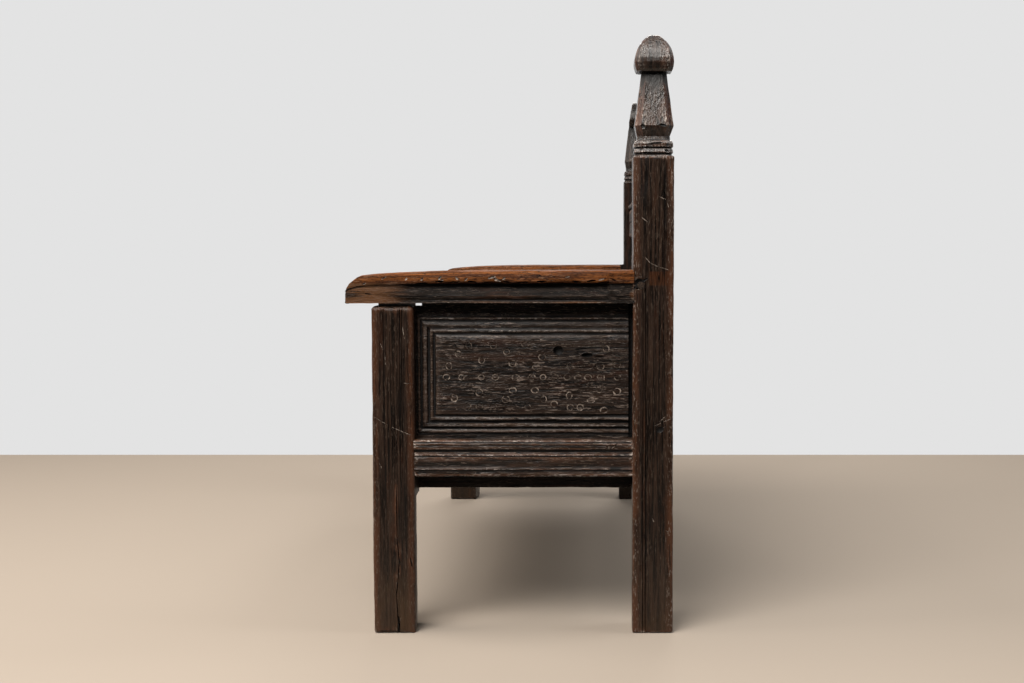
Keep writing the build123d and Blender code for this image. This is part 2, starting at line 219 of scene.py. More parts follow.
# %% Worn surfaces
def cloud(name, size, depth, start, stop):
    """A noise for the Displace modifier, size in metres, with a ramp from black at start to white at stop."""
    texture = bpy.data.textures.new(name, "CLOUDS")
    texture.noise_scale = size
    texture.noise_depth = depth
    texture.use_color_ramp = True
    black, white = texture.color_ramp.elements
    black.position, white.position = start, stop
    black.color, white.color = (0, 0, 0, 1), (1, 1, 1, 1)
    return texture


HEWN = cloud("hewn", 0.09, 2, 0.2, 0.7)
DENTS = cloud("dents", 0.011, 3, 0.2, 0.6)
NICKS = cloud("nicks", 0.009, 3, 0.16, 0.36)
GRAIN = {}
for axis in "xyz":
    bpy.ops.object.empty_add(location=(0, 0, 0))
    GRAIN[axis] = bpy.context.object
    GRAIN[axis].name = "grain_along_" + axis
    GRAIN[axis].scale = [4.0 if axis == a else 1.0 for a in "xyz"]
bpy.context.view_layer.update()


def remember_arrises():
    """In edit mode, keeps what is selected as the group that the nicks go to."""
    bpy.ops.object.vertex_group_add()
    bpy.ops.object.vertex_group_assign()
    bpy.context.object.vertex_groups.active.name = "arrises"


def ease(low, high, width):
    """In edit mode, rounds the arrises that lie along two sides of the board, and remembers them for the nicks."""
    def arris(edge):
        middle = (edge.verts[0].co + edge.verts[1].co) / 2
        return sum(at(middle[n], low[n]) or at(middle[n], high[n]) for n in range(3)) >= 2
    pick("edges", arris)
    bpy.ops.mesh.bevel(offset=width, segments=2)
    remember_arrises()


def weather(piece, grain, hewn=0.0011, dents=0.0008, nicks=0.0028):
    """Pushes the surface inward: broad waves, dents, and nicks along the arrises."""
    bpy.ops.object.mode_set(mode="OBJECT")
    focus(piece)
    for texture, depth in ((HEWN, hewn), (DENTS, dents), (NICKS, nicks)):
        if texture is NICKS and "arrises" not in piece.vertex_groups:
            continue
        push = piece.modifiers.new(texture.name, "DISPLACE")
        push.texture = texture
        push.texture_coords = "OBJECT"
        push.texture_coords_object = GRAIN[grain]
        push.strength = depth
        push.mid_level = 1.0
        push.vertex_group = "arrises" if texture is NICKS else ""
        bpy.ops.object.modifier_apply(modifier=push.name)


def join(pieces):
    """Makes all the pieces part of the first one."""
    focus(*pieces)
    bpy.ops.object.join()
    return pieces[0]


def gouges(face, rows, finish=None):
    """Stretched spheres on a face at x as one cutter, whose finish the cuts take. Rows are y, z and the half sizes in
    x, y and z, all in millimetres, and a turn about x in degrees."""
    made = []
    for y, z, deep, long, tall, turn in rows:
        focus()
        bpy.ops.mesh.primitive_uv_sphere_add(segments=12, ring_count=8, radius=1, location=(face, y / 1000, z / 1000),
                                             rotation=(math.radians(turn), 0, 0),
                                             scale=(deep / 1000, long / 1000, tall / 1000))
        bpy.ops.object.transform_apply()
        made.append(bpy.context.object)
    cutter = join(made)
    if finish:
        cutter.data.materials.append(finish)
    return cutter


def split(path, width, deep):
    """Rows for a crack or a scratch: thin spheres from point to point of (y, z), in millimetres."""
    rows = []
    for (y0, z0), (y1, z1) in zip(path, path[1:]):
        length = math.hypot(y1 - y0, z1 - z0)
        lean = math.degrees(math.atan2(y0 - y1, z1 - z0))
        rows.append(((y0 + y1) / 2, (z0 + z1) / 2, deep, width / 2, length * 0.62, lean))
    return rows


def carve(piece, cutter):
    """Takes the cutter out of the piece and throws the cutter away."""
    focus(piece)
    cut = piece.modifiers.new("carve", "BOOLEAN")
    cut.operation = "DIFFERENCE"
    cut.solver = "MANIFOLD"
    cut.material_mode = "TRANSFER"
    cut.object = cutter
    bpy.ops.object.modifier_apply(modifier=cut.name)
    bpy.data.objects.remove(cutter)


print("ageing ready: hewn 90 mm, dents 11 mm, nicks 9 mm")

# %% [markdown]
# ## Wear as an attribute
# Hands polish what stands proud, and wax and dirt gather in what lies low. Blender's dirty vertex colours measure
# just that: flat is 0.5, an arris is more and a groove is less. The value is stored on the mesh as an attribute
# called wear, so the wood's material can read it and it travels with the piece. The material also puts painted
# highlights on the proudest arrises where the value is high.

# %% Wear, and a last step for every piece
made_pieces = []


def store_wear(piece, blur=1):
    """Stores how proud or how hollow each corner lies."""
    focus(piece)
    bpy.ops.geometry.color_attribute_add(name="wear", domain="CORNER", data_type="FLOAT_COLOR", color=(1, 1, 1, 1))
    bpy.ops.paint.vertex_color_dirt(blur_strength=0.7, blur_iterations=blur, normalize=False,
                                    dirt_angle=math.radians(60), clean_angle=math.radians(120))


def dress(piece, material, slot, *nodes, crease=34):
    """Stores the wear, shades the piece smooth, gives it its wood and lets it stand for its solid."""
    if "wear" not in piece.data.color_attributes:
        store_wear(piece)
    focus(piece)
    bpy.ops.object.shade_smooth_by_angle(angle=math.radians(crease))
    if piece.data.materials:
        piece.data.materials[0] = material
    else:
        piece.data.materials.append(material)
    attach(piece, "root")
    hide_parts(*nodes)
    made_pieces.append(piece)
    print(piece.name, len(piece.data.polygons), "faces")


print("dressing ready")

# %% [markdown]
# ## Colours and nodes
# Colours are written as they look on a screen, and Blender's sockets want linear light, so one function turns a hex
# value into that. Another adds a node, sets it and links it. All the materials below are made with these two.

# %% Colour and node helpers
def linear(code):
    """A hex colour as linear light."""
    channels = [int(code[n:n + 2], 16) / 255 for n in (1, 3, 5)]
    return [c / 12.92 if c <= 0.04045 else ((c + 0.055) / 1.055) ** 2.4 for c in channels] + [1.0]


def add(tree, kind, inputs=None, **settings):
    """Adds a node, sets it and links it. A node that is given as an input stands for its first output in use."""
    node = tree.nodes.new("ShaderNode" + kind)
    for name, value in settings.items():
        setattr(node, name, value)
    for socket, value in (inputs or {}).items():
        if isinstance(value, bpy.types.Node):
            value = next(output for output in value.outputs if output.enabled)
        if isinstance(value, bpy.types.NodeSocket):
            tree.links.new(value, node.inputs[socket])
        else:
            node.inputs[socket].default_value = value
    return node


def new_tree(name):
    material = bpy.data.materials.new(name)
    material.use_nodes = True
    material.node_tree.nodes.clear()
    return material, material.node_tree


print("colour helper: #808080 is", round(linear("#808080")[0], 3))

# %% [markdown]
# ## Old waxed oak
# The wood is oak, stained almost black by smoke and wax, then rubbed. What the eye gets is a grain of dark and pale
# fibres, about 6 mm wide and a hand long, whose pale threads are partly grain and partly painted sheen; pale flecks
# painted as highlights where open pores would catch the light; reddish wood where the arrises are rubbed bare; and
# black dirt in the lines. Noise that is stretched along the grain gives all the fibres: each field below has a width
# and a length in millimetres. A photograph of wood would repeat and could not turn with the grain, so the pattern is
# solid and runs along whichever axis the board was sawn. The colour is built up as a finisher does it, coat over
# coat, and each coat lies only where its masks let it.

# %% Old waxed oak
SMOOTH = {"interpolation_type": "SMOOTHSTEP"}
TIMES = {"operation": "MULTIPLY"}
RGBA = {"data_type": "RGBA"}
# Width and length in millimetres, detail and roughness of each noise. Oak's pores are really 0.3 mm wide; the threads
# that stand for them are drawn 3 mm wide, so that they show at this distance.
FIELDS = {"fibre": (6.0, 150, 4, 0.66), "thread": (3.0, 22, 3, 0.70), "patch": (46, 110, 3, 0.60),
          "stain": (20, 120, 3, 0.62), "check": (15, 330, 2, 0.50), "speck": (2.8, 8, 2, 0.60)}
LONG_BOARDS = 2.2  # fibres run this much longer in the boards along the seat


def paint(tree, coats):
    """Lays coats one over the other: a tint, and the masks whose product lets it cover. A mask is what is read, where
    it starts and stops, and how much it lets through there."""
    colour = None
    for tint, *masks in coats:
        tint = linear(tint) if isinstance(tint, str) else tint
        cover = None
        for mask in masks:
            share = add(tree, "MapRange", dict(enumerate(mask)), **SMOOTH)
            cover = add(tree, "Math", {0: cover, 1: share}, **TIMES) if cover else share
        colour = add(tree, "Mix", {0: cover, 6: colour, 7: tint}, **RGBA) if cover else tint
    return colour


def waxed_oak(name, grain, dark, body, pale, rubbed, gloss=0.34, polish=0.35, pores=0.0011, threads_and_sheen=0.85,
              painted_glint="#8d7d70", fine=1.0, feet=0.0, stock=(), nosing=0.0, band=(), shade_spans=()):
    """Old oak with its grain along one axis. Colours are sRGB hex, and the glint colour is a painted highlight on
    chipped arrises and nicks. One share sets the most that the pale threads and flecks show: the threads are partly
    grain and partly painted sheen, the flecks a painted highlight. Feet is how scuffed the foot is. Stock is the span
    of an upright in x and in y, without sign, whose arrises are rubbed; nosing the height above which an arm is bare;
    band the lower and upper height and the front of a bare patch; and the spans in y and z that come last are where the
    painted highlights on the chips set in, dim before them as painted shade."""
    material, tree = new_tree(name)
    place = add(tree, "TexCoord").outputs["Object"]
    wear = add(tree, "Attribute", attribute_name="wear").outputs["Fac"]
    side, depth, height = add(tree, "SeparateXYZ", {0: place}).outputs
    noise = []
    for across, along, detail, rough in FIELDS.values():
        reach = along * (LONG_BOARDS if grain == "x" else 1.0)
        sizes = [1000 / (reach if axis == grain else across * fine) for axis in "xyz"]
        turned = add(tree, "Mapping", {"Vector": place, "Scale": sizes, "Location": (3.1, 7.7, 1.9)})
        noise.append(add(tree, "TexNoise", {"Vector": turned, "Scale": 1.0, "Detail": detail, "Roughness": rough,
                                            "Distortion": 0.3}))
    fibre, thread, patch, stain, check, speck = noise
    fibres, stains, uneven = (fibre, 0.40, 0.60, 0, 1), (stain, 0.55, 0.68, 0, 0.5), (stain, 0.40, 0.58, 0.1, 1)
    threads = (thread, 0.55, 0.64, 0, 1), (patch, 0.34, 0.60, 0.12, threads_and_sheen)

    # Dark and light fibres, reddish stains, pale threads in patches, partly grain and partly painted sheen, and pale
    # flecks, a painted highlight.
    coats = [(dark,), (body, fibres), ("#3a2012", stains), (pale, *threads),
             (pale, (speck, 0.64, 0.71, 0, 1), (stain, 0.44, 0.60, 0, threads_and_sheen))]
    # Scuffed feet, arrises rubbed to bare wood, and a painted highlight where they are chipped, dimmed over the given
    # spans as painted shade.
    if feet:
        coats.append(("#4d3723", (height, 0.16, 0, 0, feet), (patch, 0.3, 0.6, 0.3, 1)))
    # Over the given spans the painted highlights on the chips are dimmed: painted shade.
    inner = [(line, *span, 0.25, 1) for line, span in zip((depth, height), shade_spans)]
    coats += [(rubbed, (wear, 0.525, 0.60, 0, 1), uneven),
              (painted_glint, (wear, 0.55, 0.66, 0, 1), (speck, 0.50, 0.62, 0, 0.8), *inner)]
    # A rubbed band along the arrises of an upright, with nicks painted pale as highlights.
    if stock:
        near = []
        for line, (start, stop) in zip((side, depth), stock):
            off = add(tree, "Math", {0: line}, operation="ABSOLUTE")
            off = add(tree, "Math", {0: off, 1: (start + stop) / 2}, operation="SUBTRACT")
            off = add(tree, "Math", {0: off}, operation="ABSOLUTE")
            reach = (stop - start) / 2
            near.append((off, reach - 0.018, reach - 0.005, 0, 1))
        coats += [(rubbed, *near, (stain, 0.40, 0.55, 0.25, 0.9)), (painted_glint, *near, (speck, 0.58, 0.66, 0, threads_and_sheen))]
    # A patch of bare brown on a post, where the arm meets it.
    if band:
        low, high, front = band
        coats.append(("#4f2d18", (height, low, low + 0.003, 0, 1), (height, high + 0.002, high, 0, 1),
                      (depth, front, front + 0.006, 0, 0.75), (thread, 0.35, 0.6, 0.3, 1)))
    # The brown tip of an arm, and orange wood where hands have rubbed its top.
    if nosing:
        on_top = (height, nosing - 0.002, nosing + 0.001, 0, 1)
        orange = paint(tree, [("#4c2b18",), ("#854d22", fibres), ("#38200f", stains), ("#a07a5e", *threads),
                              ("#1d0e06", (speck, 0.46, 0.38, 0, 0.8))])
        coats += [("#80583a", (depth, -0.17, -0.26, 0, 0.6), uneven), (orange, on_top, (patch, 0.25, 0.42, 0.7, 1))]
    colour = paint(tree, coats)

    # Black dirt in the lines and in a few fine drying checks, then relief and gloss.
    checks = add(tree, "Math", {0: check, 1: 0.5, 2: 0.005}, operation="COMPARE")
    few = add(tree, "MapRange", {0: patch, 1: 0.46, 2: 0.54}, **SMOOTH)
    checks = add(tree, "Math", {0: checks, 1: few}, **TIMES)
    dirt = add(tree, "MapRange", {0: wear, 1: 0.49, 2: 0.41}, **SMOOTH)
    black = add(tree, "Math", {0: checks, 1: dirt}, operation="MAXIMUM")
    colour = add(tree, "Mix", {0: black, 6: colour, 7: linear("#070403")}, **RGBA)
    relief = add(tree, "Math", {0: fibre, 1: 0.7, 2: thread}, operation="MULTIPLY_ADD")
    relief = add(tree, "Math", {0: speck, 1: 0.6, 2: relief}, operation="MULTIPLY_ADD")
    relief = add(tree, "Math", {0: relief, 1: checks}, operation="SUBTRACT")
    bump = add(tree, "Bump", {"Height": relief, "Strength": 1.0, "Distance": pores})
    shine = add(tree, "MapRange", {0: patch, 1: 0.3, 2: 0.7, 3: gloss + 0.08, 4: gloss - 0.08})
    shine = add(tree, "Math", {0: dirt, 1: 0.3, 2: shine}, operation="MULTIPLY_ADD")
    if nosing:
        dull = add(tree, "MapRange", dict(enumerate(on_top)), **SMOOTH)
        shine = add(tree, "Math", {0: dull, 1: 0.3, 2: shine}, operation="MULTIPLY_ADD")
    wood = add(tree, "BsdfPrincipled", {"Base Color": colour, "Roughness": shine, "Specular IOR Level": polish,
                                        "Normal": bump})
    add(tree, "OutputMaterial", {0: wood})
    return material


POST_X, LEG_Y, POST_Y = (0.692, 0.770), (0.182, 0.2635), (0.2335, 0.3125)
tones = {"dark": "#0f0906", "body": "#392a21", "pale": "#64564b", "rubbed": "#563726"}
oak_leg = waxed_oak("waxed oak, grain upright", "z", threads_and_sheen=0.55, painted_glint="#7f7064", fine=0.75, feet=0.8,
                    stock=(POST_X, LEG_Y), **tones)
oak_post = waxed_oak("waxed oak, grain upright, pale band", "z", threads_and_sheen=0.6, painted_glint="#a39488", fine=0.75, feet=0.5,
                     stock=(POST_X, POST_Y), band=(0.668, 0.695, 0.262), **tones)
# On the knob the pale threads and flecks stand mostly for painted sheen, beside its real gloss.
oak_knob = waxed_oak("waxed oak, polished by hands", "z", gloss=0.25, polish=0.9, pores=0.0012, threads_and_sheen=0.9,
                     painted_glint="#d6c9be", **dict(tones, pale="#6d5f55", rubbed="#4a2f20"))
oak_facet = waxed_oak("waxed oak, facets rubbed bare", "z", gloss=0.28, polish=0.5, threads_and_sheen=0.6, painted_glint="#d6c9be",
                      dark="#150a06", body="#43261a", pale="#85614a", rubbed="#5d3a26")
# Darker copies of the tones, painted shade, for the parts that stand in shadow: the far leg, post and knob, and the
# bearers.
shade_painted = {"dark": "#070403", "body": "#1d1510", "pale": "#463a32", "rubbed": "#2c1c13"}
far_leg = waxed_oak("smoked oak, grain upright", "z", threads_and_sheen=0.45, painted_glint="#7f7064", feet=0.3, **shade_painted)
far_post = waxed_oak("smoked oak, grain upright, pale band", "z", threads_and_sheen=0.5, feet=0.3, band=(0.658, 0.685, 0.262),
                     **shade_painted)
far_knob = waxed_oak("smoked oak, polished by hands", "z", gloss=0.34, polish=0.5, painted_glint="#7f7064", **shade_painted)
oak_along = waxed_oak("waxed oak, grain along the seat", "x", gloss=0.62, polish=0.15, **tones)
oak_muntin = waxed_oak("waxed oak, grain upright, in the back", "z", gloss=0.62, polish=0.15, **tones)
arm_tones = {"dark": "#0a0604", "body": "#211812", "pale": "#6a5c52", "rubbed": "#54351f"}
oak_arm = waxed_oak("waxed oak, arm rubbed bare on top", "y", gloss=0.40, polish=0.15, fine=0.55, nosing=0.674,
                    **arm_tones)
bearer_oak = waxed_oak("smoked oak, grain from front to back", "y", gloss=0.5, polish=0.2, **shade_painted)
rail_tones = {"dark": "#0f0906", "body": "#3b2a20", "pale": "#7a6a5e", "rubbed": "#5a3c2a"}
oak_across = waxed_oak("waxed oak, grain from front to back", "y", polish=0.4, painted_glint="#c4b6aa", **rail_tones)
panel_tones = {"dark": "#090504", "body": "#30231b", "pale": "#8a7a6f", "rubbed": "#4a3a30"}
# Its painted highlights are kept dim towards the leg and lower down: painted shade where the frame stands in shadow.
oak_panel = waxed_oak("waxed oak, end panel", "y", polish=0.35, painted_glint="#c4b6aa",
                      shade_spans=((-0.150, -0.130), (0.420, 0.460)), **panel_tones)
oak_back_panel = waxed_oak("waxed oak, back panel", "x", gloss=0.62, polish=0.15, threads_and_sheen=0.4,
                           **dict(panel_tones, pale="#5f5248"))
seat_tones = {"dark": "#140d09", "body": "#35261b", "pale": "#5d4a3a", "rubbed": "#6b452a"}
oak_seat = waxed_oak("waxed oak, sat on", "x", **seat_tones)
print("woods:", len([m for m in bpy.data.materials if " oak, " in m.name]))

# %% [markdown]
# ## Ring stamps, scratches, iron and end grain
# The small finishes are alike: two colours in specks of one size, with pits. The ring stamps are pale, a painted
# highlight for the light that their rims catch; a scratch through the polish shows dry and dusty, and the same pale
# finish on the chips of an arm's nosing is a painted highlight; struck iron is nearly black with brown blooms of rust,
# and the end grain of a peg drinks wax and goes dark, with paler specks where its fibres are cut across. One function
# makes them.

# %% Speckled stuffs
def speckled(name, dark, pale, size, rough, pits, metal=0.0):
    """Two colours in specks of one size in millimetres, with pits of a depth in metres."""
    material, tree = new_tree(name)
    place = add(tree, "TexCoord").outputs["Object"]
    specks = add(tree, "TexNoise", {"Vector": place, "Scale": 1000 / size, "Detail": 3.0})
    shade = add(tree, "MapRange", {0: specks, 1: 0.40, 2: 0.60})
    tint = add(tree, "Mix", {0: shade, 6: linear(dark), 7: linear(pale)}, **RGBA)
    dull = add(tree, "MapRange", {0: specks, 1: 0.35, 2: 0.65, 3: rough - 0.1, 4: rough + 0.1})
    bump = add(tree, "Bump", {"Height": specks, "Strength": 0.6, "Distance": pits})
    stuff = add(tree, "BsdfPrincipled", {"Base Color": tint, "Roughness": dull, "Metallic": metal,
                                         "Specular IOR Level": 0.4, "Normal": bump})
    add(tree, "OutputMaterial", {0: stuff})
    return material


# Pale in the stamps: a painted highlight for the light on their rims.
ring_highlight = speckled("old wax in the ring stamps", "#3a2e26", "#a59689", 6.0, 0.55, 0.0004)
# Pale where a scratch has gone through the polish; on the chips of an arm the same pale is a painted highlight.
scrapes_and_highlights = speckled("waxed oak, scraped pale", "#4a3c33", "#b0a397", 5.0, 0.45, 0.0006)
iron = speckled("wrought iron, rusted dark", "#2b2826", "#43291b", 3.5, 0.58, 0.0008, metal=0.7)
# The end grain's pores are about 0.3 mm; they are drawn 2.4 mm apart, so that they show.
peg_oak = speckled("oak peg, end grain", "#120c08", "#4a392c", 2.4, 0.5, 0.0010)
print("speckled stuffs: 4")

# %% [markdown]
# ## Front legs
# Each front leg is one square post. Its outer face has three scribed lines, a carpenter's own marks, and it has split
# along its heart from the floor to the rail. A cube is sawn into a fine grid, so that the dents have vertices to move,
# the lines are scratched in, and the split is carved with thin stretched spheres, end to end. The pale scratches come
# last, after the wear is stored, so that the wear doesn't smear round them.

# %% Front legs
def scratches(face, lines, width=1.7, deep=1.9):
    """Pale scratches through points of (y, z) on a face at x, as one cutter."""
    return gouges(face, [row for line in lines for row in split(line, width, deep)], scrapes_and_highlights)


arm_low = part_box("arm_left")[0].z
for end, side in ENDS:
    low, high = corners("front_leg_" + end, z=(0, arm_low - 0.003))
    tenon_low = Vector((low.x + 0.02, low.y + 0.012, high.z - 0.02))
    tenon_high = Vector((high.x - 0.02, high.y - 0.003, arm_low + LAP))
    tenon = board("leg_tenon_" + end, tenon_low, tenon_high)
    for axis in "xyz":
        saw(axis, marks(tenon_low[AXIS[axis]], tenon_high[AXIS[axis]], 0.006))
    bpy.ops.object.mode_set(mode="OBJECT")
    leg = board("leg_" + end, low, high)
    face = high.x if side > 0 else low.x
    # The outer back arris and the top are rounded more than the rest.
    pick("edges", lambda e: all(at(v.co.x, face) and at(v.co.y, high.y) for v in e.verts))
    bpy.ops.mesh.bevel(offset=0.009, segments=3)
    pick("edges", lambda e: all(at(v.co.z, high.z) for v in e.verts))
    bpy.ops.mesh.bevel(offset=0.011, segments=4)
    lines = [low.y + d / 1000 for d in (24, 55, 59)]
    rows = [row for line in lines for row in scratch(line, 0.0032, 0.0019)]
    mould(low, high, "y", "+x" if side > 0 else "-x", rows, lambda co: co.z > 0.25)
    saw("y", marks(low.y, high.y, 0.0068, [row[0] for row in rows]))
    saw("x", marks(low.x, high.x, 0.0065))
    rings("z", 0.006)
    ease(low, high, 0.005)
    # Below the rail the back face was hewn out of square, from a line a little behind the outer face.
    line = face - side * 0.018
    pick("verts", lambda v: v.co.y > high.y - 0.0056 and v.co.z < 0.262 and abs(v.co.x - face) > 0.018)
    bpy.ops.transform.rotate(value=-side * math.radians(6), orient_axis="Z", center_override=(line, high.y, 0.1))
    weather(leg, "z")
    # The far leg takes the darker wood, painted shade.
    wood = oak_leg if side > 0 else far_leg
    leg.data.materials.append(wood)
    crack = split([(-217.7, 279), (-217.2, 183), (-213.5, 140), (-216.4, 102), (-219.2, 73), (-215, -6)], 2.2, 9)
    crack += split([(-192, 146), (-189, 130)], 3.0, 6) + split([(-215, 30), (-216, -8)], 5, 9)
    carve(leg, gouges(face, crack))
    store_wear(leg, 2)
    lines = [((-257, 418), (-235, 405)), ((-222, 398), (-186, 383)), ((-203, 484), (-188, 483)),
             ((-246, 560), (-238, 541), (-236, 520)), ((-205, 598), (-200, 570)), ((-250, 330), (-246, 322))]
    carve(leg, scratches(face, lines))
    # Nothing of the foot may lie under the floor.
    bpy.ops.object.mode_set(mode="EDIT")
    pick("verts", lambda v: v.co.z < 0)
    bpy.ops.transform.resize(value=(1, 1, 0), center_override=(0, 0, 0))
    bpy.ops.object.mode_set(mode="OBJECT")
    leg = join([leg, tenon])
    dress(leg, wood, "frame_wood", "front_leg_" + end)

# %% [markdown]
# ## Back posts and their finials
# The back posts are the settle's pride: each rises past the arm to two notched collars, a tapered neck and a knob
# like an acorn. The finial is drawn up from one square with its corners cut off: extrude, then scale, again and
# again, as a turner thinks of a profile but with four faces. On the left post its corners get a wood of their own,
# rubbed to brown; the right post and its knob get darker copies of the woods, painted shade. The right post is taller,
# thinner above the arm, and the front lip of its knob has split away, so a block takes that off.

# %% Back posts
# Rise in millimetres, then the share of the post's width and of its thickness at that height.
PROFILE = [(0.5, 0.95, 0.95), (3.6, 0.87, 0.87), (5.5, 0.955, 0.955), (7.5, 0.965, 0.965), (11.5, 0.935, 0.93),
           (13.5, 0.92, 0.91), (14.8, 0.865, 0.86), (17, 0.96, 0.955), (23.5, 0.955, 0.95), (28.5, 0.90, 0.87),
           (31, 0.81, 0.74), (37, 0.80, 0.71), (54, 0.925, 0.925), (57, 0.945, 0.945), (158, 0.61, 0.50),
           (158.6, 0.84, 0.76), (162.5, 0.895, 0.85), (168.5, 0.935, 0.915), (176, 0.955, 0.95), (184, 0.935, 0.935),
           (193, 0.885, 0.885), (202, 0.81, 0.81), (210, 0.70, 0.70), (217, 0.57, 0.57), (223, 0.43, 0.43),
           (227.5, 0.28, 0.28), (230, 0.13, 0.13)]
# Chips of the collars: place from the post's front, rise, half length, half height, and turn in degrees.
COLLAR_CHIPS = [(10, 10.5, 9, 3, 8), (68, 8.5, 9, 4, -15), (44, 23.5, 12, 2, 3), (70, 21, 7, 6, 20),
                (27, 4.5, 10, 2.2, -4), (19, 54, 5, 6, 30), (57, 57, 8, 3, -10)]
FINIAL = 0.231  # metres from the foot of the collars to the crown


def finial(name, low, high, base, wood, facet):
    """A four-sided knob with flat corners on a post that spans low to high."""
    middle = ((low.x + high.x) / 2, (low.y + high.y) / 2)
    knob = board(name, (low.x, low.y, base - 0.006), (high.x, high.y, base - 0.004))
    knob.data.materials.append(wood)
    knob.data.materials.append(facet)
    pick("edges", lambda e: abs(e.verts[0].co.z - e.verts[1].co.z) > 0.001)
    bpy.ops.mesh.bevel(offset=0.014, segments=1)
    pick("faces", lambda f: f.normal.z > 0.9)
    last_wide, last_thick, height = 1.0, 1.0, -0.004
    for rise, wide, thick in PROFILE:
        bpy.ops.mesh.extrude_region_move(TRANSFORM_OT_translate={"value": (0, 0, rise / 1000 - height)})
        height = rise / 1000
        bpy.ops.transform.resize(value=(thick / last_thick, wide / last_wide, 1),
                                 center_override=(*middle, base + height))
        last_wide, last_thick = wide, thick
    # The knob's corner facets are narrower than the neck's, and all above the collars stands a little back.
    for direction in ((1, 1.22, 1), (1.22, 1, 1)):
        wide = direction[0] == 1
        pick("verts", lambda v: v.co.z > base + 0.1582 and (abs(v.co.x - middle[0]) > abs(v.co.y - middle[1])) == wide)
        bpy.ops.transform.resize(value=direction, center_override=(*middle, 0))
    pick("verts", lambda v: v.co.z > base + 0.05)
    shift("y", 0.0012)
    pick("faces", lambda f: min(abs(f.normal.x), abs(f.normal.y)) > 0.25 and f.calc_center_median().z > base + 0.036)
    knob.active_material_index = 1
    bpy.ops.object.material_slot_assign()
    pick("edges", lambda e: False)
    bpy.ops.mesh.edges_select_sharp(sharpness=math.radians(28))
    remember_arrises()
    bpy.ops.object.mode_set(mode="OBJECT")
    finer = knob.modifiers.new("finer", "SUBSURF")
    finer.subdivision_type = "SIMPLE"
    finer.levels = finer.render_levels = 2
    bpy.ops.object.modifier_apply(modifier=finer.name)
    return knob


for end, side in ENDS:
    node = "back_post_" + end
    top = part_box(node)[1].z - FINIAL
    low, high = corners(node, z=(0, top))
    shave = 0.0 if side > 0 else 0.013  # how far the right post is set back above the arm
    post = board("post_" + end, low, high)
    below = [row for d in (20.9, 25.7) for row in scratch(low.y + d / 1000, 0.0028, 0.0018)]
    above = scratch(low.y + 0.061, 0.0026, 0.0013)
    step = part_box("arm_" + end)[1].z
    saw("z", [0.635, step - 0.0005, step + 0.0005])
    outward = "+x" if side > 0 else "-x"
    mould(low, high, "y", outward, below, lambda co: co.z < 0.66)
    mould(low, high, "y", outward, above, lambda co: co.z > 0.69)
    saw("y", marks(low.y, high.y, 0.0062, [row[0] for row in below + above]))
    saw("x", marks(low.x, high.x, 0.006))
    saw("z", marks(0.0, top, 0.007, [0.635, step]))
    ease(low, high, 0.0035)
    if shave:
        pick("verts", lambda v: v.co.z > step + 0.0002 and v.co.y < low.y + shave + 0.006)
        squeeze = 0.006 / (shave + 0.006)
        bpy.ops.transform.resize(value=(1, squeeze, 1), center_override=(0, low.y + shave + 0.006, 0))
    weather(post, "z")
    front = low.y + shave
    # The far post and its knob take the darker woods, painted shade.
    woods = (oak_knob, oak_facet) if side > 0 else (far_knob, far_knob)
    knob = finial("knob_" + end, Vector((low.x, front, 0)), high, top, *woods)
    weather(knob, "z", 0.0010, 0.0008, 0.0022)
    if shave:
        chip = board("lost_lip", (low.x - 0.05, front - 0.06, top + 0.055),
                     (high.x + 0.05, front + 0.006, top + 0.25))
        pick("verts", lambda v: v.co.y > front and v.co.z > top + 0.2)
        shift("y", 0.030)
        saw("z", marks(top + 0.055, top + 0.25, 0.008))
        saw("x", marks(low.x - 0.05, high.x + 0.05, 0.012))
        weather(chip, "z", 0.010, 0.003)
        carve(knob, chip)
    face = high.x if side > 0 else low.x
    chips = [(front * 1000 + y, top * 1000 + z, 4, long, tall, turn) for y, z, long, tall, turn in COLLAR_CHIPS]
    carve(knob, gouges(face - side * 0.003, chips))
    wood = oak_post if side > 0 else far_post
    post.data.materials.append(wood)
    carve(post, gouges(face, [(246, 674, 5, 10.5, 9.5, 0), (255.5, 679, 3, 9, 2.6, 35), (239, 667, 3, 8, 2.4, 60),
                              (286.5, 394.5, 3, 8, 6.2, 20)]))
    store_wear(post, 2)
    lines = [((258, 723), (266, 713), (283, 705), (300, 700)), ((283, 838), (297, 832), (301, 818)),
             ((249, 800), (261, 790)), ((276, 402), (291, 409), (308, 416)), ((280, 393), (296, 400)),
             ((286, 410), (296, 420)), ((238, 680), (243, 686), (251, 686)), ((254, 668), (257, 675)),
             ((240, 664), (247, 661)), ((272, 224), (275, 217)), ((298, 200), (303, 197))]
    carve(post, scratches(face, lines))
    store_wear(knob, 2)
    post = join([post, knob])
    dress(post, wood, "frame_wood", node, crease=24)

# %% [markdown]
# ## Arms
# An arm is a thick board with a rounded nosing over a dark quirk, and scratched lines along its face. Its tip is worn
# down to a nose. The section is moulded on both sides first; then each column of vertices near the tip is squashed
# towards the underside, which bends all the mouldings down together, as two centuries of hands did. Station by station
# the flanks are then flattened, so that the quirk dies out towards the tip and under the post.

# %% Arms
# The section: height and depth below the side, millimetres.
ARM_ROWS = [(635, 6.5), (636.5, 5.5), (640.5, 7), (642.5, 8), (644, 6.5), (648.5, 5.8), (649.5, 5.7), (652.5, 7),
            (654.5, 7.2), (656.5, 7.6), (660, 9), (664, 10.5), (667, 11.8), (669.5, 12), (671.5, 12), (672.7, 8),
            (673.8, 3), (675.5, 1.2), (679, 0.3), (683, 0), (688, 0.6), (693, 2.4), (696.5, 5), (699, 9), (700, 14)]
